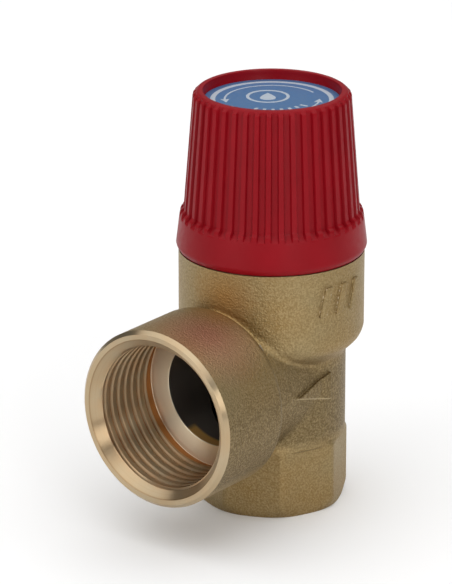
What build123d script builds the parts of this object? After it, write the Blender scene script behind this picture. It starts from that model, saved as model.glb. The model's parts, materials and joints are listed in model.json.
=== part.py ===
"""Diaphragm pressure relief valve: G 1/2 female inlet below, G 3/4 female outlet to the side.

Millimetres. +Z runs up the valve axis from the centre of the inlet face, and the outlet faces -Y.
Each sub-part is its own solid, written to parts/<node>.step where it lies with the valve closed.
"""

from build123d import *
import math
import os

# Threaded connections: the bores are modelled at the thread's major radius
INLET_R = 10.48
INLET_MOUTH_R = 11.1
INLET_DEPTH = 11.0
OUTLET_R = 13.22
OUTLET_MOUTH_R = 13.98
OUTLET_AXIS_Z = 23.25
OUTLET_FACE_Y = -32.6
OUTLET_DEPTH = 16.0
OUTLET_PASSAGE_R = 9.5

# Forged body, outside
BOSS_R = 15.44
BOSS_BACK_Y = -17.5
BOSS_EDGE_FILLET = 1.5
MOUTH_CHAMFER = 0.62
NECK_R = 12.5
WAIST_R = 12.84
BOWL_R = 15.9
BOWL_CONE_Z = 27.4
BOWL_FILLET = 2.4
BODY_TOP_Z = 44.95
WRENCH_FLATS = 24.8
WRENCH_TOP_Z = 12.3
FOOT_R = 12.46
FOOT_CHAMFER = 1.6
ARROW_TIP_Y = -9.6
ARROW_BACK_Y = -0.6
ARROW_Z = 22.85
ARROW_WIDTH = 5.0
ARROW_FACE_X = 13.25

# Forged body, inside
CHAMBER_R = 10.6
CHAMBER_FLOOR_Z = 13.6
PORT_R = 6.2
NOZZLE_R = 8.4
SEAT_Z = 17.4
SEAT_LAND = 0.8
LEDGE_Z = 34.8
SOCKET_R = 13.0

# Diaphragm and the ring that lets the bonnet turn on it
DIAPHRAGM_T = 1.0
DIAPHRAGM_ROLL_R = 9.5
DIAPHRAGM_ROLL_H = 0.7
SLIP_RING_BORE_R = 10.8
SLIP_RING_T = 1.6
SLIP_RING_Z = LEDGE_Z + DIAPHRAGM_T
BONNET_FOOT_Z = SLIP_RING_Z + SLIP_RING_T

# Bonnet
FLANGE_R = 14.6
FLANGE_TOP_Z = 47.0
NOTCH_R = 1.2
BARREL_R = 11.0
BARREL_BORE_R = 9.0
BARREL_TOP_Z = 61.9

# Spring and its plates
SUPPORT_T = 1.0
SUPPORT_R = 8.4
PLATE_R = 8.2
PLATE_T = 1.2
PLATE_SPIGOT_R = 5.2
SPIGOT_H = 1.6
LOWER_PLATE_Z = SLIP_RING_Z + SUPPORT_T
SPRING_LOW_Z = LOWER_PLATE_Z + PLATE_T
SPRING_HIGH_Z = 56.3
SPRING_WIRE_R = 1.0
SPRING_MEAN_R = 6.6
SPRING_TURNS = 6
ADJUSTER_Z = SPRING_HIGH_Z + PLATE_T
ADJUSTER_T = 4.0
SPANNER_SLOT = 2.2

# Stem, disc and seat gasket
STEM_R = 2.5
STEM_FOOT_Z = 25.0
STEM_NECK_R = 2.1
STEM_SHOULDER_Z = 66.6
STEM_TOP_Z = 68.75
RUNNING_GAP = 0.06
BUSH_R = 4.2
STEM_NUT_FLATS = 8.0
STEM_NUT_T = 3.2
HOLDER_R = 9.4
HOLDER_LIP_Z = 18.4
HOLDER_CUP_TOP_Z = 23.0
HOLDER_WAIST_R = 5.0
HOLDER_FLANGE_R = 8.6
HOLDER_FLANGE_T = 1.8
GASKET_R = 7.7
GASKET_T = 2.5
GASKET_TOP_Z = SEAT_Z + GASKET_T
RETAINER_R = 4.9
RETAINER_T = 0.8
SCREW_R = 1.5
SCREW_HEAD_R = 2.8
SCREW_HEAD_T = 1.7
SCREW_TIP_Z = 24.5

# Knob
KNOB_FOOT_Z = 45.05
SKIRT_FOOT_R = 15.85
SKIRT_R = 16.3
SKIRT_TOP_R = 15.6
SKIRT_TOP_Z = 51.5
SKIRT_BORE_R = 15.0
SKIRT_BORE_TOP_Z = 50.5
GRIP_FOOT_R = 15.0
GRIP_FOOT_Z = 52.1
GRIP_TOP_R = 13.42
GRIP_TOP_Z = 72.1
GRIP_WALL = 1.7
RIM_R = 12.84
RIM_BORE_R = 11.7
KNOB_TOP_Z = 72.9
RIB_COUNT = 42
RIB_SHARE = 0.42
RIB_DEPTH = 0.5
PLATE_Z = 68.9
HUB_R = 6.6
HUB_FOOT_Z = 66.7
HUB_TOP_Z = 68.7
LABEL_Z = 70.8
LABEL_R = 11.6
LABEL_T = 0.4
WASHER_R = 4.6
WASHER_T = 0.6
KNOB_SCREW_HEAD_R = 3.2
KNOB_SCREW_HEAD_T = 1.2
KNOB_SCREW_TIP_Z = 61.0
HEAD_POCKET_R = 5.2

# Manual lift: three ramps raise the knob, and the stem with it
LIFT = 2.4
LIFT_ANGLE = 100.0
RAMP_COUNT = 3
RAMP_BORE_R = 9.1
RAMP_GAP = 0.1
RAMP_SPAN = 96.0

BOTTOM = (Align.CENTER, Align.CENTER, Align.MIN)


def disc(radius, low, high):
    """A plain cylinder about the valve axis between two heights."""
    return Pos(0, 0, low) * Cylinder(radius, high - low, align=BOTTOM)


def ring(outer, inner, low, high):
    """A cylinder with a round hole through it."""
    return disc(outer, low, high) - disc(inner, low - 1, high + 1)


def turned(points):
    """A solid of revolution about the valve axis from (radius, height) points."""
    return revolve(Plane.XZ * make_face(Polyline(*points, close=True)), Axis.Z)


def outlet_turned(points):
    """A solid of revolution about the outlet axis from (radius, y) points."""
    return Pos(0, 0, OUTLET_AXIS_Z) * revolve(make_face(Polyline(*points, close=True)), Axis.Y)


def hexagon(flats, low, high):
    """A hexagonal prism, flat to flat."""
    sketch = RegularPolygon(flats / 2, 6, major_radius=False)
    return Pos(0, 0, low) * extrude(sketch, high - low)


def at_height(shape, z):
    """The circular edges of a shape that lie at one height."""
    return shape.edges().filter_by(GeomType.CIRCLE).filter_by_position(Axis.Z, z - 0.05, z + 0.05)


def body_bowl():
    """The wide upper cup, rounded into a cone that meets the waist."""
    rise = BOWL_R - WAIST_R
    cup = turned([
        (0, BOWL_CONE_Z - 1), (WAIST_R - 1, BOWL_CONE_Z - 1),
        (BOWL_R, BOWL_CONE_Z + rise), (BOWL_R, BODY_TOP_Z), (0, BODY_TOP_Z),
    ])
    return fillet(at_height(cup, BOWL_CONE_Z + rise), BOWL_FILLET)


def body_foot():
    """The octagonal wrench section round the inlet."""
    corner_r = WRENCH_FLATS / 2 / math.cos(math.pi / 8)
    octagon = extrude(RegularPolygon(WRENCH_FLATS / 2, 8, major_radius=False), WRENCH_TOP_Z)
    octagon = fillet(octagon.edges().filter_by(Axis.Z), 0.5)
    envelope = turned([
        (0, 0), (FOOT_R, 0), (corner_r, FOOT_CHAMFER), (corner_r, WRENCH_TOP_Z - 0.8),
        (WAIST_R - 0.3, WRENCH_TOP_Z), (0, WRENCH_TOP_Z),
    ])
    return octagon & envelope


def body_boss():
    """The outlet boss, with a 45 degree shoulder down to the neck that joins the waist."""
    shoulder_y = BOSS_BACK_Y + BOSS_R - NECK_R
    boss = outlet_turned([
        (0, OUTLET_FACE_Y), (BOSS_R - MOUTH_CHAMFER, OUTLET_FACE_Y), (BOSS_R, OUTLET_FACE_Y + MOUTH_CHAMFER),
        (BOSS_R, BOSS_BACK_Y), (NECK_R, shoulder_y), (NECK_R, 0), (0, 0),
    ])
    rims = boss.edges().filter_by(GeomType.CIRCLE)
    back = rims.filter_by_position(Axis.Y, BOSS_BACK_Y - 0.1, BOSS_BACK_Y + 0.1)
    return fillet(back, BOSS_EDGE_FILLET)


def flow_arrows():
    """A raised arrowhead on each side of the waist, pointing to the outlet."""
    half = ARROW_WIDTH / 2
    outline = Polyline(
        (ARROW_TIP_Y, ARROW_Z), (ARROW_BACK_Y, ARROW_Z + half), (ARROW_BACK_Y, ARROW_Z - half), close=True,
    )
    return extrude(Plane.YZ * make_face(outline), ARROW_FACE_X, both=True)


def body_bores():
    """Everything machined out of the body: inlet, seat port, chamber, bonnet socket and outlet."""
    inlet = turned([
        (0, -1), (INLET_MOUTH_R, -1), (INLET_MOUTH_R, 0), (INLET_R, INLET_MOUTH_R - INLET_R),
        (INLET_R, INLET_DEPTH), (PORT_R, INLET_DEPTH), (PORT_R, CHAMBER_FLOOR_Z + 1), (0, CHAMBER_FLOOR_Z + 1),
    ])
    chamber = turned([
        (0, CHAMBER_FLOOR_Z), (CHAMBER_R, CHAMBER_FLOOR_Z), (CHAMBER_R, LEDGE_Z), (SOCKET_R, LEDGE_Z),
        (SOCKET_R, BODY_TOP_Z + 1), (0, BODY_TOP_Z + 1),
    ])
    shoulder_y = OUTLET_FACE_Y + OUTLET_DEPTH
    outlet = outlet_turned([
        (0, OUTLET_FACE_Y - 1), (OUTLET_MOUTH_R, OUTLET_FACE_Y - 1), (OUTLET_MOUTH_R, OUTLET_FACE_Y),
        (OUTLET_R, OUTLET_FACE_Y + OUTLET_MOUTH_R - OUTLET_R), (OUTLET_R, shoulder_y),
        (OUTLET_PASSAGE_R, shoulder_y), (OUTLET_PASSAGE_R, -CHAMBER_R / 2), (0, -CHAMBER_R / 2),
    ])
    return inlet + chamber + outlet


def seat_nozzle():
    """The raised seat: a short tube whose top narrows to a flat land round the port."""
    return turned([
        (PORT_R, CHAMBER_FLOOR_Z - 1), (NOZZLE_R, CHAMBER_FLOOR_Z - 1), (NOZZLE_R, SEAT_Z - 1.2),
        (PORT_R + SEAT_LAND, SEAT_Z), (PORT_R, SEAT_Z),
    ])


def valve_body():
    """The forged brass body with its machined bores and seat."""
    waist = disc(WAIST_R, WRENCH_TOP_Z - 0.5, BOWL_CONE_Z + 1)
    forging = body_bowl() + waist + body_foot() + body_boss() + flow_arrows()
    return forging - body_bores() + seat_nozzle()


def diaphragm():
    """The rubber diaphragm: a flat rim and centre joined by one shallow roll."""
    low, high = LEDGE_Z, LEDGE_Z + DIAPHRAGM_T
    crown = high + DIAPHRAGM_ROLL_H
    bore = STEM_R + RUNNING_GAP
    inner, outer = DIAPHRAGM_ROLL_R - 0.7, DIAPHRAGM_ROLL_R + 0.7
    outline = Wire([
        Edge.make_line((bore, 0, low), (inner, 0, low)),
        Edge.make_three_point_arc((inner, 0, low), (DIAPHRAGM_ROLL_R, 0, low + DIAPHRAGM_ROLL_H), (outer, 0, low)),
        Edge.make_line((outer, 0, low), (SOCKET_R, 0, low)),
        Edge.make_line((SOCKET_R, 0, low), (SOCKET_R, 0, high)),
        Edge.make_line((SOCKET_R, 0, high), (outer + 0.4, 0, high)),
        Edge.make_three_point_arc((outer + 0.4, 0, high), (DIAPHRAGM_ROLL_R, 0, crown), (inner - 0.2, 0, high)),
        Edge.make_line((inner - 0.2, 0, high), (bore, 0, high)),
        Edge.make_line((bore, 0, high), (bore, 0, low)),
    ])
    return revolve(Face(outline), Axis.Z)


def slip_ring():
    """The flat ring between diaphragm and bonnet, so that screwing the bonnet down doesn't drag the rubber."""
    return ring(SOCKET_R, SLIP_RING_BORE_R, SLIP_RING_Z, BONNET_FOOT_Z)


def ramps(inner, outer, rise, span):
    """Three helical wedges on the bonnet's rim; each top face climbs anticlockwise seen from above."""
    pitch = LIFT * 360 / LIFT_ANGLE
    path = Helix(pitch, pitch * span / 360, (inner + outer) / 2)
    across = Plane(origin=path @ 0, x_dir=(1, 0, 0), z_dir=path % 0)
    wedge = Rectangle(outer - inner, LIFT + 1.5, align=(Align.CENTER, Align.MIN))
    one = Pos(0, 0, BARREL_TOP_Z + rise) * sweep(across * wedge, path, is_frenet=True)
    return [Rot(0, 0, i * 360 / RAMP_COUNT) * one for i in range(RAMP_COUNT)]


def bonnet():
    """The spring housing: threaded foot, notched flange, barrel and the three lifting ramps."""
    shell = turned([
        (BARREL_BORE_R, BONNET_FOOT_Z), (SOCKET_R, BONNET_FOOT_Z), (SOCKET_R, BODY_TOP_Z),
        (FLANGE_R, BODY_TOP_Z), (FLANGE_R, FLANGE_TOP_Z), (BARREL_R, FLANGE_TOP_Z),
        (BARREL_R, BARREL_TOP_Z), (BARREL_BORE_R, BARREL_TOP_Z),
    ])
    notch = Pos(FLANGE_R, 0, 0) * disc(NOTCH_R, FLANGE_TOP_Z - 1.4, FLANGE_TOP_Z + 1)
    notches = [Rot(0, 0, 60 * i) * notch for i in range(6)]
    return shell - notches + ramps(RAMP_BORE_R, BARREL_R - 0.2, 0, RAMP_SPAN)


def spring_adjuster():
    """The screwed ring that sets the spring load, with a spanner slot across its top."""
    top = ADJUSTER_Z + ADJUSTER_T
    slot = Pos(0, 0, top) * Box(3 * BARREL_BORE_R, SPANNER_SLOT, 2.4)
    return ring(BARREL_BORE_R, BUSH_R, ADJUSTER_Z, top) - slot


def stem_bush():
    """The plain bush in the adjuster that guides the stem."""
    return ring(BUSH_R, STEM_R + RUNNING_GAP, ADJUSTER_Z, ADJUSTER_Z + ADJUSTER_T - 1.2)


def upper_spring_plate():
    """The plate that centres the spring's upper end under the adjuster."""
    plate = disc(PLATE_R, SPRING_HIGH_Z, ADJUSTER_Z) + disc(PLATE_SPIGOT_R, SPRING_HIGH_Z - SPIGOT_H, ADJUSTER_Z)
    return plate - disc(STEM_R + 0.5, SPRING_HIGH_Z - 5, ADJUSTER_Z + 1)


def lower_spring_plate():
    """The plate on the stem that carries the spring's lower end."""
    plate = disc(PLATE_R, LOWER_PLATE_Z, SPRING_LOW_Z) + disc(PLATE_SPIGOT_R, LOWER_PLATE_Z, SPRING_LOW_Z + SPIGOT_H)
    return plate - disc(STEM_R, LOWER_PLATE_Z - 1, SPRING_LOW_Z + 5)


def spring():
    """The compression spring, at its closed-valve length."""
    height = SPRING_HIGH_Z - SPRING_LOW_Z - 2 * SPRING_WIRE_R
    path = Helix(height / SPRING_TURNS, height, SPRING_MEAN_R)
    wire = Plane(origin=path @ 0, z_dir=path % 0) * Circle(SPRING_WIRE_R)
    return Pos(0, 0, SPRING_LOW_Z + SPRING_WIRE_R) * sweep(wire, path, is_frenet=True)


def diaphragm_support():
    """The washer that backs the diaphragm's centre."""
    return ring(SUPPORT_R, STEM_R, SLIP_RING_Z, LOWER_PLATE_Z)


def stem_nut():
    """The nut that clamps spring plate, support and diaphragm onto the disc holder."""
    low = SPRING_LOW_Z + SPIGOT_H
    return hexagon(STEM_NUT_FLATS, low, low + STEM_NUT_T) - disc(STEM_R, low - 1, low + STEM_NUT_T + 1)


def stem():
    """The stem: screwed into the disc holder below, necked for the knob above and drilled for its screw."""
    shaft = turned([
        (0, STEM_FOOT_Z), (STEM_R, STEM_FOOT_Z), (STEM_R, STEM_SHOULDER_Z),
        (STEM_NECK_R, STEM_SHOULDER_Z), (STEM_NECK_R, STEM_TOP_Z), (0, STEM_TOP_Z),
    ])
    return shaft - disc(SCREW_R, KNOB_SCREW_TIP_Z, STEM_TOP_Z + 1)


def disc_holder():
    """The moving disc's carrier: a cup for the gasket, a waist and a flange under the diaphragm."""
    cup_slope = HOLDER_R - HOLDER_WAIST_R
    flange_z = LEDGE_Z - HOLDER_FLANGE_T
    return turned([
        (SCREW_R, GASKET_TOP_Z), (GASKET_R, GASKET_TOP_Z), (GASKET_R, HOLDER_LIP_Z), (HOLDER_R, HOLDER_LIP_Z),
        (HOLDER_R, HOLDER_CUP_TOP_Z), (HOLDER_WAIST_R, HOLDER_CUP_TOP_Z + cup_slope / 2),
        (HOLDER_WAIST_R, flange_z - 1.5), (HOLDER_FLANGE_R, flange_z), (HOLDER_FLANGE_R, LEDGE_Z),
        (STEM_R, LEDGE_Z), (STEM_R, STEM_FOOT_Z), (SCREW_R, STEM_FOOT_Z),
    ])


def seat_gasket():
    """The rubber disc that closes on the seat."""
    return ring(GASKET_R, SCREW_R, SEAT_Z, GASKET_TOP_Z)


def gasket_retainer():
    """The washer that holds the gasket's centre."""
    return ring(RETAINER_R, SCREW_R, SEAT_Z - RETAINER_T, SEAT_Z)


def gasket_screw():
    """The slotted screw that holds the gasket and its washer in the disc holder."""
    head_top = SEAT_Z - RETAINER_T
    head_low = head_top - SCREW_HEAD_T
    slot = Pos(0, 0, head_low) * Box(3 * SCREW_HEAD_R, 0.8, 1.4)
    return disc(SCREW_HEAD_R, head_low, head_top) + disc(SCREW_R, head_low, SCREW_TIP_Z) - slot


def knob_shell():
    """The knob's turned shape: skirt, tapered grip, rim, label recess, plate and stem hub."""
    wall_foot_r = GRIP_FOOT_R - GRIP_WALL
    wall_top_r = wall_foot_r - (GRIP_FOOT_R - GRIP_TOP_R) * (PLATE_Z - GRIP_FOOT_Z) / (GRIP_TOP_Z - GRIP_FOOT_Z)
    return turned([
        (SKIRT_BORE_R, KNOB_FOOT_Z), (SKIRT_FOOT_R, KNOB_FOOT_Z), (SKIRT_R, KNOB_FOOT_Z + 0.9),
        (SKIRT_TOP_R, SKIRT_TOP_Z), (GRIP_FOOT_R, GRIP_FOOT_Z), (GRIP_TOP_R, GRIP_TOP_Z),
        (RIM_R, GRIP_TOP_Z + GRIP_TOP_R - RIM_R), (RIM_R - 0.3, KNOB_TOP_Z),
        (RIM_BORE_R + 0.15, KNOB_TOP_Z), (RIM_BORE_R, KNOB_TOP_Z - 0.15), (RIM_BORE_R, LABEL_Z),
        (HEAD_POCKET_R, LABEL_Z), (HEAD_POCKET_R, HUB_TOP_Z), (STEM_NECK_R + RUNNING_GAP, HUB_TOP_Z),
        (STEM_NECK_R + RUNNING_GAP, HUB_FOOT_Z), (HUB_R, HUB_FOOT_Z), (HUB_R, PLATE_Z),
        (wall_top_r, PLATE_Z), (wall_foot_r, SKIRT_BORE_TOP_Z), (SKIRT_BORE_R, SKIRT_BORE_TOP_Z),
    ])


def grip_grooves():
    """The grooves between the grip's ribs, cut along the taper up to the rim."""
    end_z = KNOB_TOP_Z - 0.1
    taper = (GRIP_FOOT_R - GRIP_TOP_R) / (GRIP_TOP_Z - GRIP_FOOT_Z)
    floor_end_r = GRIP_FOOT_R - RIB_DEPTH - taper * (end_z - GRIP_FOOT_Z)
    rib_pitch = 2 * math.pi * (GRIP_FOOT_R + GRIP_TOP_R) / 2 / RIB_COUNT
    outline = Polyline(
        (GRIP_FOOT_R - RIB_DEPTH, GRIP_FOOT_Z), (GRIP_FOOT_R + 2, GRIP_FOOT_Z),
        (GRIP_FOOT_R + 2, end_z), (floor_end_r, end_z), close=True,
    )
    groove = extrude(Plane.XZ * make_face(outline), rib_pitch * (1 - RIB_SHARE) / 2, both=True)
    return [Rot(0, 0, i * 360 / RIB_COUNT) * groove for i in range(RIB_COUNT)]


def knob():
    """The manual discharge knob, whose inner ring rides on the bonnet's ramps."""
    cam = ring(BARREL_R, RAMP_BORE_R, BARREL_TOP_Z + RAMP_GAP, PLATE_Z + 0.5)
    cam = cam - ramps(RAMP_BORE_R - 0.3, BARREL_R + 0.3, RAMP_GAP, RAMP_SPAN + 2)
    return knob_shell() - grip_grooves() + cam


def label_disc():
    """The printed disc in the knob's top, over the screw."""
    return disc(LABEL_R, LABEL_Z, LABEL_Z + LABEL_T)


def knob_washer():
    """The washer that keeps the knob on the stem's neck and lets it turn."""
    return ring(WASHER_R, SCREW_R, STEM_TOP_Z, STEM_TOP_Z + WASHER_T)


def knob_screw():
    """The slotted screw down the stem, through which the knob lifts it."""
    low = STEM_TOP_Z + WASHER_T
    top = low + KNOB_SCREW_HEAD_T
    slot = Pos(0, 0, top) * Box(3 * KNOB_SCREW_HEAD_R, 0.9, 1.2)
    return disc(KNOB_SCREW_HEAD_R, low, top) + disc(SCREW_R, KNOB_SCREW_TIP_Z, top) - slot


SUB_PARTS = (
    valve_body, diaphragm, slip_ring, bonnet, spring_adjuster, stem_bush, upper_spring_plate, spring,
    lower_spring_plate, diaphragm_support, stem_nut, stem, disc_holder, seat_gasket, gasket_retainer,
    gasket_screw, knob, label_disc, knob_washer, knob_screw,
)


def main():
    os.makedirs("parts", exist_ok=True)
    for make in SUB_PARTS:
        export_step(make(), f"parts/{make.__name__}.step")


main()
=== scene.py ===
"""Looks of a diaphragm pressure relief valve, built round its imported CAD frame.

Lengths are millimetres in the frame's axes: +Z runs up the valve axis from the inlet face, and the
outlet faces -Y. MM turns them into metres where meshes, lights and the camera are made.
"""

import itertools
import json
import math

import bpy
import numpy as np
from mathutils import Matrix, Vector


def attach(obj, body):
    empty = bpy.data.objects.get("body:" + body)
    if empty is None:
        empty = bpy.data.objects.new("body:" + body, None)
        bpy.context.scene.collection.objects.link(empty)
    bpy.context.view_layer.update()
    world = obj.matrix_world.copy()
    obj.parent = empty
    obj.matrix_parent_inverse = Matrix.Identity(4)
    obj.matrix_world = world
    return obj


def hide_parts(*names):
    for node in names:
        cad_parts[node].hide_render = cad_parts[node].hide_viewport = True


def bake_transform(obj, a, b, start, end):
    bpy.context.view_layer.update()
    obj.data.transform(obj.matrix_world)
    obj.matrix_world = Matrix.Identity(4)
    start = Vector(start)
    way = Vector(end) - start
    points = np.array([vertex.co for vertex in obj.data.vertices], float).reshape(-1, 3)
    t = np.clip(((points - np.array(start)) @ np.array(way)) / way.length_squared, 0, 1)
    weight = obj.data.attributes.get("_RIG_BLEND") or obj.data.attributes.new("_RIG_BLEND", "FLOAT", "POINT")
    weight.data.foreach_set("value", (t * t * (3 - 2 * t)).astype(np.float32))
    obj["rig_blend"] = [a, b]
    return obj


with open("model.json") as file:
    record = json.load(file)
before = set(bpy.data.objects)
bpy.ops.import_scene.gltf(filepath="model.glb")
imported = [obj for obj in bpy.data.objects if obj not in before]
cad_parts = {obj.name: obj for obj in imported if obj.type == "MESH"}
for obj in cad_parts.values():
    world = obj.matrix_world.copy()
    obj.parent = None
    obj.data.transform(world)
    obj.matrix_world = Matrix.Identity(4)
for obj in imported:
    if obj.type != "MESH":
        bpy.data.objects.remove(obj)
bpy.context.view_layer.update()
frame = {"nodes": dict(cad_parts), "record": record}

MM = 0.001
PER_MM = 1000.0
PITCH = 1.814
THREAD_FLANK_ANGLE = 27.5

# Forged body, outside
OUTLET_Z = 23.25
OUTLET_FACE_Y = -32.6
BOSS_R = 15.44
BOSS_BACK_Y = -17.5
NECK_R = 12.5
WAIST_R = 12.84
BOWL_R = 15.9
BOWL_CONE_Z = 27.4
BODY_TOP_Z = 44.95
OCTAGON_FLATS = 24.8
OCTAGON_TOP_Z = 12.3
FOOT_R = 12.46
FOOT_CHAMFER = 1.6
FOOT_CORNER_R = 13.42
ARROW_TIP_Y = -9.6
ARROW_BACK_Y = -0.6
ARROW_Z = 22.85
ARROW_WIDTH = 5.0
ARROW_RAISE = 0.55
ARROW_SIDE_X = 8.0
BAR_Z = 39.5
BAR_LENGTH = 5.2
BAR_WIDTH = 1.45
BAR_RAISE = 0.39
BAR_SPACING = 3.5
BAR_PLACE = -1.6
BAR_SLANT = 0.25

# Meshing of the forged blank, which is too long where it is turned; FAR_OFF is "not at this feature"
SPARE = 1.0
COARSE_CELL = 0.42
FINE_CELL = 0.2
FAR_OFF = 5.0

# Forged body, inside
MOUTH_R = 13.98
MOUTH_CHAMFER = 0.62
OUTLET_MAJOR_R = 13.1
OUTLET_MINOR_R = 12.38
THREAD_END = 13.6
GROOVE_START = 13.8
OUTLET_DEPTH = 16.0
GROOVE_R = 13.3
PASSAGE_R = 9.5
PASSAGE_END_Y = -5.3
INLET_MOUTH_R = 11.1
INLET_MAJOR_R = 10.48
INLET_MINOR_R = 9.5
INLET_DEPTH = 11.0
PORT_R = 6.2
CHAMBER_R = 10.6
CHAMBER_FLOOR_Z = 13.6
LEDGE_Z = 34.8
SOCKET_R = 13.0
NOZZLE_R = 8.4
SEAT_Z = 17.4
SEAT_LAND = 0.8

# Knob
KNOB_FOOT_Z = 45.05
SKIRT_FOOT_R = 15.85
SKIRT_R = 16.29
SKIRT_TOP_R = 15.6
SKIRT_TOP_Z = 51.5
SKIRT_BORE_R = 15.0
SKIRT_BORE_TOP_Z = 50.5
GRIP_FOOT_R = 15.0
GRIP_FOOT_Z = 52.1
GRIP_TOP_R = 13.42
GRIP_TOP_Z = 72.1
RIM_R = 12.84
RIM_BORE_R = 11.7
KNOB_TOP_Z = 72.9
RIB_COUNT = 42
RIB_SHARE = 0.46
RIB_DEPTH = 0.5
GROOVE_FOOT_Z = 50.8
GRIP_WALL = 1.7
PLATE_Z = 68.9
HUB_R = 6.6
HUB_FOOT_Z = 66.7
HUB_TOP_Z = 68.7
HUB_BORE_R = 2.2
HEAD_POCKET_R = 5.2
LABEL_Z = 70.8
LABEL_TOP_Z = 71.2
LIFT = 2.4
LIFT_ANGLE = 100.0
RAMP_COUNT = 3
RAMP_SPAN = 96.0
RAMP_LOW_Z = 62.0
RAMP_BORE_R = 9.1
BARREL_R = 11.0

# Spring and diaphragm
SPRING_LOW_Z = 38.0
SPRING_HIGH_Z = 56.3
SPRING_WIRE_R = 1.0
SPRING_MEAN_R = 6.6
SPRING_TURNS = 7.6
SPRING_CLOSED_TURNS = 0.8
DIAPHRAGM_BORE_R = 2.6
DIAPHRAGM_T = 1.0
ROLL_R = 9.5
ROLL_HALF_WIDTH = 0.8
ROLL_HEIGHT = 0.65

scene = bpy.context.scene


# ---------------------------------------------------------------- meshes

def mesh_piece(name, points, faces, sharp=30.0):
    """An object from points in millimetres, shaded smooth apart from edges sharper than an angle."""
    mesh = bpy.data.meshes.new(name)
    mesh.from_pydata((np.asarray(points, float) * MM).tolist(), [], faces)
    mesh.validate()
    mesh.shade_smooth()
    mesh.set_sharp_from_angle(angle=math.radians(sharp))
    piece = bpy.data.objects.new(name, mesh)
    scene.collection.objects.link(piece)
    return piece


def joined_rings(rings, closed=False):
    """Points and faces of a skin through rings of points; its ends are fans, or meet if it is closed."""
    count, around = len(rings), len(rings[0])
    points = [np.asarray(ring, float) for ring in rings]
    spans = count if closed else count - 1
    faces = []
    for row in range(spans):
        low, high = row * around, (row + 1) % count * around
        for i in range(around):
            j = (i + 1) % around
            faces.append((low + i, low + j, high + j, high + i))
    if not closed:
        middle = count * around
        points.append(np.array([rings[0].mean(0), rings[-1].mean(0)]))
        top = (count - 1) * around
        for i in range(around):
            j = (i + 1) % around
            faces.append((middle, j, i))
            faces.append((middle + 1, top + i, top + j))
    return np.concatenate(points), faces


def angles(count):
    """A number of angles spaced evenly round a circle."""
    return np.arange(count) * 2 * math.pi / count


def ring_about(axis, radius, along, count):
    """A ring of points about one of the two bores' axes, at a place along it."""
    turn = angles(count)
    return axis_points(axis, radius * np.cos(turn), radius * np.sin(turn), np.broadcast_to(along, turn.shape))


def turned(name, axis, profile, count=128, closed=False):
    """A solid of revolution from (radius, place along the axis) points."""
    rings = [ring_about(axis, radius, along, count) for radius, along in profile]
    return mesh_piece(name, *joined_rings(rings, closed))


def thread_rows(minor, major, pitch):
    """(place in the pitch, radius) points of one turn of a whitworth form cut in a drilled hole."""
    root, ease = 0.06, 0.05
    flank = (major - minor) * math.tan(math.radians(THREAD_FLANK_ANGLE))
    crest = root + flank
    half = [
        (root, major), (root + flank / 2, (major + minor) / 2), (crest - ease, minor + ease),
        (crest + ease, minor), (pitch / 2 - 0.2, minor),
    ]
    rise = [(pitch - place, radius) for place, radius in reversed(half)]
    return half + rise


def thread_skin(minor, major, mouth, start_root, end, count):
    """Place along the bore, radius and number of each point of a threaded skin, row by row round it."""
    form = thread_rows(minor, major, PITCH)
    turns = range(-2, int(end / PITCH) + 3)
    places = np.array([k * PITCH + place for k in turns for place, _ in form]) + start_root
    radii = np.array([radius for _ in turns for _, radius in form])
    along = places[None, :] + PITCH * angles(count)[:, None] / (2 * math.pi)
    first = int(np.searchsorted(places, -PITCH)) - 1
    along, radii = along[:, first:], radii[first:]
    low, high = along <= 0, along >= end
    radius = np.broadcast_to(radii, along.shape)
    for limit, beyond in ((0.0, low), (end, high)):
        edge = np.array([np.interp(limit, row, radii) for row in along])
        radius = np.where(beyond, edge[:, None], radius)
    along = np.clip(along, 0, end)
    ids = np.arange(along.size).reshape(along.shape)
    for i in range(count):
        ids[i, low[i]] = ids[i, np.flatnonzero(low[i])[-1]]
        ids[i, high[i]] = ids[i, np.flatnonzero(high[i])[0]]
    return along, np.maximum(radius, mouth - along), ids


def threaded_bore(name, axis, minor, major, mouth, start_root, end, after, count=160):
    """The solid cut out by a tapped bore: a mouth cone, a right-hand thread and plain rings after it."""
    along, radius, ids = thread_skin(minor, major, mouth, start_root, end, count)
    turn = angles(count)[:, None]
    grid = axis_points(axis, radius * np.cos(turn), radius * np.sin(turn), along).reshape(-1, 3)
    faces = helix_faces(ids, len(thread_rows(minor, major, PITCH)))
    return finish_bore(name, axis, grid, faces, ids[:, 0], ids[:, -1], mouth, after, count)


def axis_points(axis, across, side, along):
    """Points from their places across, beside and along one of the two bores' axes."""
    if axis == "outlet":
        return np.stack([side, OUTLET_FACE_Y + along, OUTLET_Z + across], -1)
    return np.stack([across, side, along], -1)


def helix_faces(ids, per_turn):
    """Quads between neighbouring helix rows; the last column meets the first one turn further on."""
    count, rows = ids.shape
    faces = []
    for i in range(count):
        here = ids[i]
        if i + 1 < count:
            there = ids[i + 1]
        else:
            there = np.concatenate([ids[0, per_turn:], np.full(per_turn, ids[0, -1])])
        for j in range(rows - 1):
            corners = []
            for corner in (here[j], there[j], there[j + 1], here[j + 1]):
                if corner not in corners:
                    corners.append(int(corner))
            if len(corners) > 2:
                faces.append(tuple(corners))
    return faces


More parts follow.
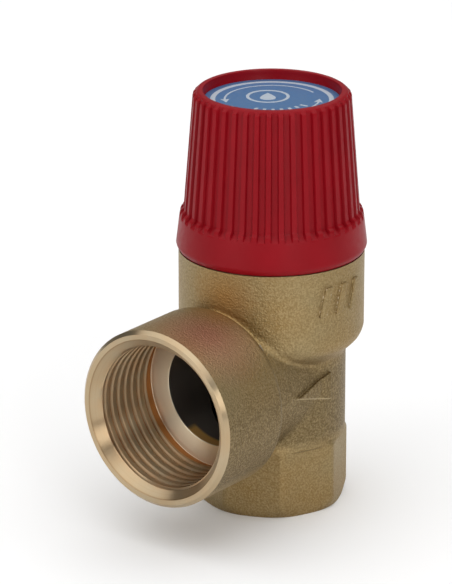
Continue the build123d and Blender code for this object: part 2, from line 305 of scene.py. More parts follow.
def finish_bore(name, axis, grid, faces, mouth_ring, end_ring, mouth, after, count):
    """Closes a threaded skin with its mouth cone outside the face and plain rings past its end."""
    lead = 2.0
    rings = [ring_about(axis, mouth + lead, -lead, count)]
    rings += [ring_about(axis, radius, along, count) for radius, along in after]
    base = len(grid)
    ids = [base + k * count + np.arange(count) for k in range(len(rings))]
    tail = [end_ring, *ids[1:]]
    for rows in ([ids[0], mouth_ring], tail):
        for low, high in zip(rows, rows[1:]):
            for i in range(count):
                j = (i + 1) % count
                faces.append((int(low[i]), int(low[j]), int(high[j]), int(high[i])))
    middle = base + len(rings) * count
    for i in range(count):
        j = (i + 1) % count
        faces.append((middle, int(ids[0][j]), int(ids[0][i])))
        faces.append((middle + 1, int(tail[-1][i]), int(tail[-1][j])))
    points = np.concatenate([grid, *rings, [rings[0].mean(0), rings[-1].mean(0)]])
    used = np.unique(np.concatenate([np.array(face) for face in faces]))
    renumber = np.full(len(points), -1)
    renumber[used] = np.arange(len(used))
    return mesh_piece(name, points[used], [tuple(int(renumber[v]) for v in face) for face in faces])


def graded(low, high, zones):
    """Grid lines from low to high, closer together inside the zones."""
    lines = [low]
    while lines[-1] < high:
        fine = any(a - COARSE_CELL / 2 < lines[-1] < b for a, b in zones)
        lines.append(lines[-1] + (FINE_CELL if fine else COARSE_CELL))
    return np.array(lines)


CELL_CORNERS = list(itertools.product((0, 1), repeat=3))


def cell_places(at):
    """The mean of the places where a field changes sign along the edges of each cell."""
    total, hits = np.zeros((len(at), 3)), np.zeros(len(at))
    for a, b in itertools.combinations(range(8), 2):
        offset = np.array(CELL_CORNERS[b]) - np.array(CELL_CORNERS[a])
        if np.abs(offset).sum() != 1:
            continue
        crossed = (at[:, a] < 0) != (at[:, b] < 0)
        share = np.where(crossed, at[:, a] / np.where(crossed, at[:, a] - at[:, b], 1), 0)
        total += crossed[:, None] * (np.array(CELL_CORNERS[a]) + share[:, None] * offset)
        hits += crossed
    return total / hits[:, None]


def cell_faces(value, ids):
    """A quad across each grid edge on which the field changes sign, through the cells round it."""
    faces = []
    for axis in range(3):
        b, c = (axis + 1) % 3, (axis + 2) % 3
        here = [slice(1, n) for n in ids.shape]
        here[axis] = slice(0, ids.shape[axis])
        there = list(here)
        there[axis] = slice(1, ids.shape[axis] + 1)
        start, end = value[tuple(here)] < 0, value[tuple(there)] < 0
        for rising, flip in ((start & ~end, False), (~start & end, True)):
            first = np.argwhere(rising)
            first[:, b] += 1
            first[:, c] += 1
            ring = []
            for db, dc in ((-1, -1), (0, -1), (0, 0), (-1, 0)):
                cell = first.copy()
                cell[:, b] += db
                cell[:, c] += dc
                ring.append(ids[tuple(cell.T)])
            faces += np.stack(ring[::-1] if flip else ring, 1).tolist()
    return faces


def surface_net(field, axes):
    """Points and faces of field = 0: one point in each grid cell it crosses, moved onto the surface."""
    value = field(np.stack(np.meshgrid(*axes, indexing="ij"), -1))
    shape = [n - 1 for n in value.shape]
    cut = [value[i:i + shape[0], j:j + shape[1], k:k + shape[2]] for i, j, k in CELL_CORNERS]
    below = sum((c < 0).astype(int) for c in cut)
    active = (below > 0) & (below < 8)
    ids = np.full(shape, -1)
    ids[active] = np.arange(active.sum())
    places = np.argwhere(active) + cell_places(np.stack([c[active] for c in cut], 1))
    points = np.stack([
        np.interp(places[:, k], np.arange(len(lines)), lines) for k, lines in enumerate(axes)
    ], 1)
    return settled(field, points), cell_faces(value, ids)


def settled(field, points):
    """Points moved along the field's slope until they lie on its surface."""
    for _ in range(3):
        here, slope = field(points), gradient(field, points)
        move = here[:, None] * slope / np.maximum((slope ** 2).sum(1), 0.05)[:, None]
        points = points - np.clip(move, -COARSE_CELL / 2, COARSE_CELL / 2)
    return points


def difference(piece, *cutters, operation="DIFFERENCE"):
    """Cuts other solids out of a piece, or joins them to it, and removes them."""
    for cutter in cutters:
        step = piece.modifiers.new("cut", "BOOLEAN")
        step.operation, step.object, step.solver = operation, cutter, "MANIFOLD"
        evaluated = piece.evaluated_get(bpy.context.evaluated_depsgraph_get())
        mesh = bpy.data.meshes.new_from_object(evaluated)
        piece.modifiers.clear()
        piece.data = mesh
        bpy.data.objects.remove(cutter)


# ---------------------------------------------------------------- valve body

def round_cut(a, b, radius):
    """The overlap of two solids, its edge rounded."""
    edge = np.hypot(np.maximum(radius + a, 0), np.maximum(radius + b, 0))
    return np.minimum(-radius, np.maximum(a, b)) + edge


def round_join(a, b, radius):
    """Two solids together, the corner between them filled."""
    corner = np.hypot(np.maximum(radius - a, 0), np.maximum(radius - b, 0))
    return np.maximum(radius, np.minimum(a, b)) - corner


def bowl_and_waist(r, z):
    """The bowl, with its 45 degree cone down to the waist."""
    root2 = math.sqrt(2)
    cup = round_cut(r - BOWL_R, (r - WAIST_R - (z - BOWL_CONE_Z)) / root2, 1.0)
    waist = round_cut(r - WAIST_R, OCTAGON_TOP_Z - 0.45 - z, 0.25)
    return round_join(cup, waist, 0.4)


def boss_and_neck(rb, y):
    """The outlet boss, with its 45 degree cone down to the neck."""
    root2 = math.sqrt(2)
    boss = round_cut(rb - BOSS_R, (rb - BOSS_R + y - BOSS_BACK_Y) / root2, 0.44)
    neck = np.maximum(rb - NECK_R, y)
    return np.maximum(round_join(boss, neck, 0.3), OUTLET_FACE_Y - SPARE - y)


def octagon(r, x, y, z):
    """The wrench section, with corners along X and Y and between them."""
    eighth = math.pi / 4
    turn = np.mod(np.arctan2(y, x), eighth) - eighth / 2
    flat = r * np.cos(turn) - OCTAGON_FLATS / 2
    beside = r * np.cos(eighth - np.abs(turn)) - OCTAGON_FLATS / 2
    top = (z - OCTAGON_TOP_Z + 0.9 * (r - WAIST_R)) / 1.345
    slope = FOOT_CHAMFER / (FOOT_CORNER_R - FOOT_R)
    foot = (slope * (r - FOOT_R) - z) / math.hypot(slope, 1)
    return round_cut(round_cut(round_cut(flat, beside, 0.45), top, 0.4), foot, 0.4)


def flow_arrow(r, rb, x, y, z):
    """A raised arrowhead on each side of the neck and waist, pointing to the outlet."""
    length, half = ARROW_BACK_Y - ARROW_TIP_Y, ARROW_WIDTH / 2
    slope = math.hypot(length, half)
    side = (-half * (y - ARROW_TIP_Y) + length * np.abs(z - ARROW_Z)) / slope
    outline = round_cut(side, y - ARROW_BACK_Y, 0.2)
    skin = np.minimum(r - WAIST_R, rb - NECK_R) - ARROW_RAISE
    return np.where(np.abs(x) > ARROW_SIDE_X, round_cut(outline, skin, 0.14), FAR_OFF)


def rating_bars(r, x, y, z):
    """Three slanted raised bars on the bowl's +X side."""
    along = BOWL_R * np.arctan2(y, np.abs(x)) - BAR_PLACE - BAR_SLANT * (z - BAR_Z)
    nearest = np.clip(np.round(along / BAR_SPACING), -1, 1) * BAR_SPACING
    across = np.abs(along - nearest) - BAR_WIDTH / 2
    outline = round_cut(across, np.abs(z - BAR_Z) - BAR_LENGTH / 2, 0.4)
    bar = round_cut(outline, r - BOWL_R - BAR_RAISE, 0.14)
    return np.where(x > 0, bar, FAR_OFF)


def forging(p):
    """Signed distance to the forged blank, a millimetre long at each end that is turned."""
    x, y, z = p[..., 0], p[..., 1], p[..., 2]
    r, rb = np.hypot(x, y), np.hypot(x, z - OUTLET_Z)
    upright = bowl_and_waist(r, z)
    sideways = boss_and_neck(rb, y)
    crossing = 1 - (x * x / np.maximum(r * rb, 1e-6)) ** 2
    blank = round_join(upright, sideways, 0.95 * np.sqrt(np.clip(crossing, 0.02, 1)))
    blank = round_join(blank, octagon(r, x, y, z), 0.3)
    blank = round_join(blank, flow_arrow(r, rb, x, y, z), 0.12)
    blank = round_join(blank, rating_bars(r, x, y, z), 0.1)
    return np.maximum(blank, np.maximum(z - BODY_TOP_Z - SPARE, -SPARE - z))


def turning_cuts():
    """What is turned off the blank's outside: foot face, outlet face with its edge, and top face."""
    wide, deep, reach = 24.0, 4.0, 1.6
    foot = turned("foot_cut", "valve", [(wide, -deep), (wide, 0)])
    lip = BOSS_R - MOUTH_CHAMFER
    face = turned("face_cut", "outlet", [
        (0.01, -deep), (wide, -deep), (wide, reach), (lip + reach, reach), (lip, 0), (0.01, 0),
    ])
    top = turned("top_cut", "valve", [(wide, BODY_TOP_Z), (wide, BODY_TOP_Z + deep)])
    return foot, face, top


def bore_cuts():
    """The tapped inlet and outlet with what follows them, and the chamber with the bonnet's socket."""
    inlet = threaded_bore(
        "inlet_cut", "valve", INLET_MINOR_R, INLET_MAJOR_R, INLET_MOUTH_R, 0.4, INLET_DEPTH - 0.3,
        [(INLET_MINOR_R, INLET_DEPTH), (PORT_R, INLET_DEPTH), (PORT_R, SEAT_Z + 1)], 128,
    )
    back = PASSAGE_END_Y - OUTLET_FACE_Y
    outlet = threaded_bore(
        "outlet_cut", "outlet", OUTLET_MINOR_R, OUTLET_MAJOR_R, MOUTH_R, 0.84, THREAD_END,
        [(GROOVE_R, GROOVE_START), (GROOVE_R, OUTLET_DEPTH - 0.1), (GROOVE_R - 0.1, OUTLET_DEPTH),
         (PASSAGE_R + 0.12, OUTLET_DEPTH), (PASSAGE_R, OUTLET_DEPTH + 0.12), (PASSAGE_R, back)],
    )
    chamber = turned("chamber_cut", "valve", [
        (CHAMBER_R, CHAMBER_FLOOR_Z), (CHAMBER_R, LEDGE_Z), (SOCKET_R, LEDGE_Z),
        (SOCKET_R, BODY_TOP_Z - 0.5), (SOCKET_R + 0.5, BODY_TOP_Z), (SOCKET_R + 0.5, BODY_TOP_Z + 2),
    ])
    return chamber, outlet, inlet


def seat_nozzle():
    """The raised seat: a short tube whose top narrows to a flat land round the port."""
    return turned("seat_nozzle", "valve", [
        (PORT_R, CHAMBER_FLOOR_Z - 0.5), (NOZZLE_R, CHAMBER_FLOOR_Z - 0.5), (NOZZLE_R, SEAT_Z - 1.2),
        (PORT_R + SEAT_LAND, SEAT_Z), (PORT_R + 0.1, SEAT_Z), (PORT_R, SEAT_Z - 0.1),
    ], closed=True)


def gradient(field, points, reach=0.02):
    """The field's slope at points."""
    return np.stack([
        (field(points + reach * unit) - field(points - reach * unit)) / (2 * reach) for unit in np.eye(3)
    ], 1)


def smooth_forging(mesh, machined):
    """Forged faces take their normals from the blank's own shape; machined ones stay sharp at edges."""
    mesh.shade_smooth()
    mesh.set_sharp_from_angle(angle=math.radians(32))
    corner = np.empty(len(mesh.loops) * 3, np.float32)
    mesh.corner_normals.foreach_get("vector", corner)
    corner = corner.reshape(-1, 3)
    size = np.empty(len(mesh.polygons), np.int32)
    mesh.polygons.foreach_get("loop_total", size)
    vertex_of = np.empty(len(mesh.loops), np.int32)
    mesh.loops.foreach_get("vertex_index", vertex_of)
    points = np.empty(len(mesh.vertices) * 3)
    mesh.vertices.foreach_get("co", points)
    slope = gradient(forging, points.reshape(-1, 3) / MM)
    slope /= np.maximum(np.linalg.norm(slope, axis=1), 1e-6)[:, None]
    forged = ~np.repeat(machined, size) & ((slope[vertex_of] * corner).sum(1) > 0.6)
    corner[forged] = slope[vertex_of[forged]]
    mesh.normals_split_custom_set(corner.tolist())


def forging_axes():
    """Grid lines for the blank, fine at the octagon's step, the arrows and the bars."""
    edge = BOWL_R + 1
    arrow_half, bar_half = ARROW_WIDTH / 2 + 0.6, BAR_LENGTH / 2 + 0.5
    return (
        graded(-edge, edge, [(-13.6, -11.4), (11.4, edge)]),
        graded(OUTLET_FACE_Y - SPARE - 0.8, edge, [(ARROW_TIP_Y - 0.4, BAR_PLACE + BAR_SPACING + 2)]),
        graded(-SPARE - 0.8, BODY_TOP_Z + SPARE + 0.8, [
            (OCTAGON_TOP_Z - 1.1, OCTAGON_TOP_Z + 0.5), (ARROW_Z - arrow_half, ARROW_Z + arrow_half),
            (BAR_Z - bar_half, BAR_Z + bar_half),
        ]),
    )


def face_kinds(mesh):
    """For each face: 0 if it is forged, 1 if it is turned in the outlet, 2 if it is turned elsewhere."""
    centres = np.empty(len(mesh.polygons) * 3)
    mesh.polygons.foreach_get("center", centres)
    x, y, z = (centres.reshape(-1, 3) / MM).T
    machined = np.abs(forging(np.stack([x, y, z], 1))) > 0.04
    by_outlet = (np.hypot(x, z - OUTLET_Z) < BOSS_R + 0.1) & (y < -PASSAGE_R) & (z > CHAMBER_FLOOR_Z - 6)
    return np.where(machined, np.where(by_outlet, 1, 2), 0)


def valve_body(forged, turned_outlet, turned_valve):
    """The forged body, with its turned faces, threads, chamber and seat."""
    body = mesh_piece("body_forging", *surface_net(forging, forging_axes()))
    difference(body, *turning_cuts(), *bore_cuts())
    difference(body, seat_nozzle(), operation="UNION")
    kinds = face_kinds(body.data)
    body.data.materials.clear()
    for brass in (forged, turned_outlet, turned_valve):
        body.data.materials.append(brass)
    body.data.polygons.foreach_set("material_index", kinds.astype(np.int32))
    smooth_forging(body.data, kinds > 0)
    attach(body, "housing")
    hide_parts("valve_body")


# ---------------------------------------------------------------- knob

def rib_share(turn):
    """How much of the groove's depth is cut at an angle: 0 on a rib, 1 in a groove, eased between."""
    pitch = 2 * math.pi / RIB_COUNT
    place = np.abs(np.mod(turn / pitch + 0.5, 1) - 0.5)
    edge = (1 - RIB_SHARE) / 2
    return np.clip((edge + 0.04 - place) / 0.08, 0, 1)


def rib_turns():
    """Angles round the knob, closer together at the ribs' edges."""
    edge = (1 - RIB_SHARE) / 2
    places = [0, 0.5 * edge, edge - 0.08, edge - 0.04, edge - 0.01, edge + 0.02, edge + 0.04, edge + 0.07]
    places += [0.5] + [1 - place for place in reversed(places[1:])]
    return np.array([(k + place) * 2 * math.pi / RIB_COUNT for k in range(RIB_COUNT) for place in places])


def knob_ring(radius, z, depth=0.0):
    """A ring of the knob with its grooves cut to a depth, at one height or at one for each point."""
    turn = rib_turns()
    out = radius - depth * rib_share(turn)
    return np.stack([out * np.cos(turn), out * np.sin(turn), z + np.zeros_like(turn)], 1)


def skirt_rings():
    """From inside the skirt's foot up to its shoulder, where the grooves run out on short ramps."""
    return [
        knob_ring(SKIRT_BORE_R, KNOB_FOOT_Z + 0.2),
        knob_ring(SKIRT_BORE_R + 0.2, KNOB_FOOT_Z),
        knob_ring(SKIRT_FOOT_R - 0.15, KNOB_FOOT_Z),
        knob_ring(SKIRT_FOOT_R, KNOB_FOOT_Z + 0.1),
        knob_ring(SKIRT_R - 0.08, KNOB_FOOT_Z + 0.7),
        knob_ring(SKIRT_R, KNOB_FOOT_Z + 1.0),
        knob_ring(SKIRT_R - 0.03, KNOB_FOOT_Z + 1.3),
        knob_ring(SKIRT_TOP_R + 0.16, GROOVE_FOOT_Z - 0.35),
        knob_ring(SKIRT_TOP_R + 0.12, GROOVE_FOOT_Z - 0.08),
        knob_ring(SKIRT_TOP_R + 0.11, GROOVE_FOOT_Z, 0.04),
        knob_ring(SKIRT_TOP_R + 0.05, GROOVE_FOOT_Z + 0.4, 0.45),
        knob_ring(SKIRT_TOP_R, SKIRT_TOP_Z, 0.82),
        knob_ring(SKIRT_TOP_R - 0.1, SKIRT_TOP_Z + 0.2, 0.88),
        knob_ring(SKIRT_TOP_R - 0.25, SKIRT_TOP_Z + 0.36, 0.79),
    ]


def grip_rings():
    """Up the ribbed taper to the 45 degree facets at the ribs' tops."""
    rings = [
        knob_ring(GRIP_FOOT_R + 0.15, GRIP_FOOT_Z - 0.1, 0.65),
        knob_ring(GRIP_FOOT_R + 0.02, GRIP_FOOT_Z + 0.03, 0.52),
        knob_ring(GRIP_FOOT_R - 0.02, GRIP_FOOT_Z + 0.25, RIB_DEPTH),
    ]
    taper = (GRIP_TOP_R - GRIP_FOOT_R) / (GRIP_TOP_Z - GRIP_FOOT_Z)
    for z in np.linspace(GRIP_FOOT_Z + 1.5, GRIP_TOP_Z - 0.75, 8):
        rings.append(knob_ring(GRIP_FOOT_R + taper * (z - GRIP_FOOT_Z), z, RIB_DEPTH))
    return rings + [
        knob_ring(GRIP_TOP_R, GRIP_TOP_Z - 0.06, RIB_DEPTH),
        knob_ring(GRIP_TOP_R - 0.04, GRIP_TOP_Z + 0.04, RIB_DEPTH - 0.05),
        knob_ring(GRIP_TOP_R - 0.1, GRIP_TOP_Z + 0.1, RIB_DEPTH - 0.11),
        knob_ring(RIM_R + 0.1, GRIP_TOP_Z + 0.45, 0.07),
        knob_ring(RIM_R + 0.04, GRIP_TOP_Z + 0.51, 0.02),
    ]


def rim_rings():
    """Over the rim and down to the label's seat."""
    return [
        knob_ring(RIM_R - 0.03, GRIP_TOP_Z + 0.6),
        knob_ring(RIM_R - 0.26, KNOB_TOP_Z - 0.08),
        knob_ring(RIM_R - 0.33, KNOB_TOP_Z - 0.02),
        knob_ring(RIM_R - 0.4, KNOB_TOP_Z),
        knob_ring(RIM_BORE_R + 0.12, KNOB_TOP_Z),
        knob_ring(RIM_BORE_R + 0.04, KNOB_TOP_Z - 0.03),
        knob_ring(RIM_BORE_R, KNOB_TOP_Z - 0.14),
        knob_ring(RIM_BORE_R - 0.02, KNOB_TOP_Z - 0.5),
        knob_ring(RIM_BORE_R - 0.04, LABEL_Z + 0.1),
        knob_ring(RIM_BORE_R - 0.1, LABEL_Z),
    ]


def inner_rings():
    """Through the screw's pocket and the stem's bore, round the hub and the cam, to the skirt's bore."""
    cam = cam_height(rib_turns())
    foot_r = GRIP_FOOT_R - GRIP_WALL
    taper = (GRIP_FOOT_R - GRIP_TOP_R) / (GRIP_TOP_Z - GRIP_FOOT_Z)
    top_r = foot_r - taper * (PLATE_Z - GRIP_FOOT_Z)
    profile = (
        (HEAD_POCKET_R, LABEL_Z), (HEAD_POCKET_R, HUB_TOP_Z), (HUB_BORE_R, HUB_TOP_Z),
        (HUB_BORE_R, HUB_FOOT_Z), (HUB_R, HUB_FOOT_Z), (HUB_R, PLATE_Z - 0.2), (HUB_R + 0.2, PLATE_Z),
        (RAMP_BORE_R, PLATE_Z), (RAMP_BORE_R, cam), (BARREL_R, cam), (BARREL_R, PLATE_Z),
        (top_r - 0.2, PLATE_Z), (top_r, PLATE_Z - 0.2), (foot_r, SKIRT_BORE_TOP_Z),
        (SKIRT_BORE_R, SKIRT_BORE_TOP_Z),
    )
    return [knob_ring(radius, z) for radius, z in profile]


def cam_height(turn):
    """Height of the cam's underside round the knob: three ramps that climb anticlockwise."""
    third = 360 / RAMP_COUNT
    within = np.mod(np.degrees(turn), third)
    span = RAMP_SPAN + 2
    climb = np.where(within < span, within, np.clip((third - within) / (third - span), 0, 1) * span)
    return RAMP_LOW_Z + 1.6 + climb / LIFT_ANGLE * LIFT


def knob(plastic):
    """The ribbed knob as one skin, with the cam inside that rides on the bonnet's ramps."""
    rings = skirt_rings() + grip_rings() + rim_rings() + inner_rings()
    piece = mesh_piece("knob_shell", *joined_rings(rings, closed=True), sharp=38.0)
    piece.data.materials.append(plastic)
    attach(piece, "knob")
    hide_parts("knob")


# ---------------------------------------------------------------- small pieces

def spring():
    """The compression spring: closed end coils, six open ones, its lower end carried by the stem."""
    turn = np.linspace(0, SPRING_TURNS, 420)
    low, high, wire, closed = SPRING_LOW_Z, SPRING_HIGH_Z, SPRING_WIRE_R, SPRING_CLOSED_TURNS
    open_turns = SPRING_TURNS - 2 * closed
    rise = (high - low - 2 * wire - 4 * closed * wire) / open_turns
    height = 2 * wire * np.minimum(turn, closed) + rise * np.clip(turn - closed, 0, open_turns)
    height += 2 * wire * np.maximum(turn - closed - open_turns, 0)
    angle = 2 * math.pi * turn
    outward = np.stack([np.cos(angle), np.sin(angle), 0 * angle], 1)
    centre = SPRING_MEAN_R * outward + np.stack([0 * angle, 0 * angle, low + wire + height], 1)
    spin = angles(14)[:, None]
    rings = []
    for middle, out in zip(centre, outward):
        rings.append(middle + 0.98 * wire * (np.cos(spin) * out - np.sin(spin) * np.array([0, 0, 1])))
    piece = mesh_piece("spring_coil", *joined_rings(rings))
    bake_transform(piece, "stem", "housing", start=(0, 0, low * MM), end=(0, 0, high * MM))
    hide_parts("spring")
    return piece


def diaphragm():
    """The rubber diaphragm: its centre follows the stem, its rim stays in the housing."""
    inner, outer = ROLL_R - ROLL_HALF_WIDTH, ROLL_R + ROLL_HALF_WIDTH
    roll = ROLL_R + ROLL_HALF_WIDTH * np.linspace(-0.8, 0.8, 9)
    radii = np.concatenate([[DIAPHRAGM_BORE_R, 5.0, inner], roll, [outer, 11.5, SOCKET_R - 0.02]])
    crown = ROLL_HEIGHT * np.clip(1 - ((radii - ROLL_R) / ROLL_HALF_WIDTH) ** 2, 0, 1)
    under = list(zip(radii, LEDGE_Z + 0.01 + crown))
    over = list(zip(radii[::-1], LEDGE_Z + DIAPHRAGM_T - 0.01 + crown[::-1]))
    piece = turned("diaphragm_roll", "valve", under + over, 96, closed=True)
    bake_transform(piece, "stem", "housing", start=(0, 0, 0), end=(0.01, 0, 0))
    points = np.array([vertex.co for vertex in piece.data.vertices]) / MM
    share = np.clip((np.hypot(points[:, 0], points[:, 1]) - inner) / (outer - inner), 0, 1)
    weight = piece.data.attributes["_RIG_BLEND"].data
    weight.foreach_set("value", (share * share * (3 - 2 * share)).astype(np.float32))
    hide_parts("diaphragm")
    return piece


def arc(radius, start, end, count=40):
    """Points along an arc between two angles in degrees."""
    turn = np.radians(np.linspace(start, end, count))
    return np.stack([radius * np.cos(turn), radius * np.sin(turn)], 1)


def arc_arrow(radius, width, start, end, head=13.0):
    """Outline of a thin curved arrow that ends in a head some degrees long."""
    body = end - head
    half, barb = width / 2, 0.8
    return np.concatenate([
        arc(radius + half, start, body), arc(radius + barb, body - 2, body - 2, 1), arc(radius, end, end, 1),
        arc(radius - barb, body - 2, body - 2, 1), arc(radius - half, body, start),
    ])


def drop_outline(centre, size, heading, count=48):
    """Outline of a water drop whose point looks along a heading in degrees."""
    turn = angles(count)
    length, across = -size * np.cos(turn), 0.9 * size * np.sin(turn) * np.sin(turn / 2) ** 1.4
    a = math.radians(heading)
    return np.array(centre) + np.stack([
        -length * math.cos(a) - across * math.sin(a), -length * math.sin(a) + across * math.cos(a),
    ], 1)


def tick_outline(radius, length, width, angle):
    """Outline of one radial bar of the printed scale."""
    a = math.radians(angle)
    out, side = np.array([math.cos(a), math.sin(a)]), np.array([-math.sin(a), math.cos(a)])
    corners = ((0, -1), (1, -1), (1, 1), (0, 1))
    return np.array([(radius + length * s) * out + width / 2 * t * side for s, t in corners])


def label_outlines():
    """Border ring, two turn arrows, a drop in a ring and a row of bars; an outline in another is a hole."""
    symbol = np.array([-1.5, 0.8])
    outlines = [
        arc(10.45, 0, 360, 121)[:-1], arc(9.6, 0, 360, 121)[:-1],
        arc_arrow(8.0, 0.34, 66, 232), arc_arrow(8.0, 0.34, -112, 38),
        symbol + arc(3.7, 0, 360, 73)[:-1], symbol + arc(3.15, 0, 360, 73)[:-1],
        drop_outline(symbol, 2.1, 127),
    ]
    for k in range(7):
        outlines.append(tick_outline(5.7, 1.5 if k % 3 == 0 else 0.95, 0.55, 2 - 13.5 * k))
    return outlines


def filled(name, outlines, thickness):
    """A flat mesh filled between outlines, as thick as ink."""
    curve = bpy.data.curves.new(name, "CURVE")
    curve.dimensions, curve.fill_mode, curve.extrude = "2D", "BOTH", thickness / 2 * MM
    for outline in outlines:
        spline = curve.splines.new("POLY")
        spline.points.add(len(outline) - 1)
        spline.use_cyclic_u = True
        for point, (x, y) in zip(spline.points, outline * MM):
            point.co = (x, y, 0, 1)
    drawn = bpy.data.objects.new(name, curve)
    scene.collection.objects.link(drawn)
    mesh = bpy.data.meshes.new_from_object(drawn.evaluated_get(bpy.context.evaluated_depsgraph_get()))
    bpy.data.objects.remove(drawn)
    return mesh


def label_print(ink):
    """The pale print on the label."""
    mesh = filled("label_print", label_outlines(), 0.024)
    mesh.transform(Matrix.Translation((0, 0, LABEL_TOP_Z * MM)))
    piece = bpy.data.objects.new("label_marks", mesh)
    scene.collection.objects.link(piece)
    mesh.materials.clear()
    mesh.materials.append(ink)
    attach(piece, "knob")


# ---------------------------------------------------------------- materials

def add(tree, kind, inputs=None, **settings):
    """A node with its settings; an input takes a value or another node's output."""
    node = tree.nodes.new(kind)
    for key, value in settings.items():
        setattr(node, key, value)
    for key, value in (inputs or {}).items():
        if isinstance(value, bpy.types.NodeSocket):
            tree.links.new(value, node.inputs[key])
        else:
            node.inputs[key].default_value = value
    return node


def noise(tree, place, per_mm, detail=2.0, rough=0.5):
    """Noise with a number of features to the millimetre."""
    inputs = {"Vector": place, "Scale": per_mm * PER_MM, "Detail": detail, "Roughness": rough}
    return add(tree, "ShaderNodeTexNoise", inputs).outputs[0]


def ranged(tree, value, low, high, to_low=0.0, to_high=1.0):
    """A value carried from one range to another, clamped at the ends."""
    inputs = {"Value": value, "From Min": low, "From Max": high, "To Min": to_low, "To Max": to_high}
    return add(tree, "ShaderNodeMapRange", inputs).outputs[0]


def blended(tree, factor, first, second):
    """A mix of two colours, each a triple or another node's output."""
    node = tree.nodes.new("ShaderNodeMix")
    node.data_type = "RGBA"
    for index, value in ((0, factor), (6, first), (7, second)):
        if isinstance(value, bpy.types.NodeSocket):
            tree.links.new(value, node.inputs[index])
        else:
            node.inputs[index].default_value = value if index == 0 else (*value, 1)
    return node.outputs[2]


def math_node(tree, operation, *values):
    """The result of one sum on numbers or other nodes' outputs."""
    return add(tree, "ShaderNodeMath", dict(enumerate(values)), operation=operation).outputs[0]


def vector_node(tree, operation, *values, output=0):
    """The result of one sum on vectors; output 1 is the one that is a number."""
    return add(tree, "ShaderNodeVectorMath", dict(enumerate(values)), operation=operation).outputs[output]


def bump(tree, height, depth, under=None):
    """A bump of a depth in millimetres, on top of another one if it is given."""
    inputs = {"Height": height, "Distance": depth * MM, "Strength": 1.0}
    if under is not None:
        inputs["Normal"] = under
    return add(tree, "ShaderNodeBump", inputs).outputs[0]


def material(name, **sockets):
    """A new material, its node tree, its shader and the object's own coordinates."""
    made = bpy.data.materials.new(name)
    made.use_nodes = True
    tree = made.node_tree
    shader = tree.nodes["Principled BSDF"]
    for key, value in sockets.items():
        shader.inputs[key.replace("_", " ")].default_value = value
    return made, tree, shader, add(tree, "ShaderNodeTexCoord").outputs["Object"]


def height_of(tree, place):
    """The Z of a place."""
    return add(tree, "ShaderNodeSeparateXYZ", {0: place}).outputs["Z"]


def spot(tree, place, centre, inner, outer):
    """A soft-edged patch round a point: 1 within the inner distance, 0 beyond the outer."""
    away = vector_node(tree, "DISTANCE", place, tuple(value * MM for value in centre), output=1)
    return ranged(tree, away, outer * MM, inner * MM)


def finish(tree, shader, colour, roughness=None, normal=None):
    """Links a shader's colour, roughness and normal."""
    for key, value in (("Base Color", colour), ("Roughness", roughness), ("Normal", normal)):
        if value is not None:
            tree.links.new(value, shader.inputs[key])


def arrow_edge_highlight(tree, place):
    """Painted highlight along the arrow's lower edge."""
    length = ARROW_BACK_Y - ARROW_TIP_Y
    from_tip = vector_node(tree, "SUBTRACT", place, (0, ARROW_TIP_Y * MM, ARROW_Z * MM))
    parts = add(tree, "ShaderNodeSeparateXYZ", {0: from_tip}).outputs
    drop = math_node(tree, "MULTIPLY", parts["Y"], ARROW_WIDTH / 2 / length)
    off_line = math_node(tree, "ABSOLUTE", math_node(tree, "ADD", parts["Z"], drop))
    line = ranged(tree, off_line, 0.26 * MM, 0.08 * MM, 0.0, 0.45)
    from_middle = math_node(tree, "ABSOLUTE", math_node(tree, "SUBTRACT", parts["Y"], length / 2 * MM))
    ends = ranged(tree, from_middle, length / 2 * MM, (length / 2 - 0.4) * MM)
    return math_node(tree, "MULTIPLY", line, ends)


# Painted reflections: pink of the red knob on the outlet boss's top beside its mouth, and warm orange on the
# bowl above the boss: centre, inner and outer reach, colour
PAINTED_REFLECTIONS = (
    ((6.0, -25.5, 37.6), 1.0, 11.0, (0.36, 0.19, 0.12)),
    ((1.4, -15.9, 40.5), 0.0, 7.0, (0.38, 0.215, 0.075)),
)


def shaded_waist(tree, place, brass):
    """Painted shade on the brass between the octagon and the bowl, where the bowl overhangs the waist."""
    height = height_of(tree, place)
    above_foot = ranged(tree, height, (OCTAGON_TOP_Z + 0.1) * MM, (OCTAGON_TOP_Z + 1.7) * MM)
    under_bowl = ranged(tree, height, 30 * MM, 25 * MM)
    dull = ranged(tree, math_node(tree, "MULTIPLY", above_foot, under_bowl), 0, 1, 0, 0.85)
    return blended(tree, dull, brass, (0.145, 0.10, 0.045))


def forged_brass():
    """Shot-blasted forging: grain about a third of a millimetre across, cloudy olive to ochre brass."""
    made, tree, shader, place = material("brass_forged", Metallic=1.0)
    grain = noise(tree, place, 3.1, 2.0, 0.6)
    dents = noise(tree, place, 1.9, 1.0)
    cloud = noise(tree, place, 0.09, 2.0)
    brass = blended(tree, ranged(tree, cloud, 0.35, 0.65), (0.29, 0.215, 0.105), (0.29, 0.19, 0.075))
    # Painted shade on the waist under the bowl.
    brass = shaded_waist(tree, place, brass)
    brass = blended(tree, ranged(tree, grain, 0.40, 0.68, 0.0, 0.5), brass, (0.48, 0.37, 0.195))
    # Painted highlight along the arrow's lower edge.
    brass = blended(tree, arrow_edge_highlight(tree, place), brass, (0.78, 0.64, 0.40))
    # Painted reflections on the boss top and on the bowl above it.
    for centre, inner, outer, tint in PAINTED_REFLECTIONS:
        brass = blended(tree, spot(tree, place, centre, inner, outer), brass, tint)
    normal = bump(tree, grain, 0.13, bump(tree, dents, 0.07))
    finish(tree, shader, brass, ranged(tree, grain, 0.3, 0.7, 0.56, 0.44), normal)
    return made


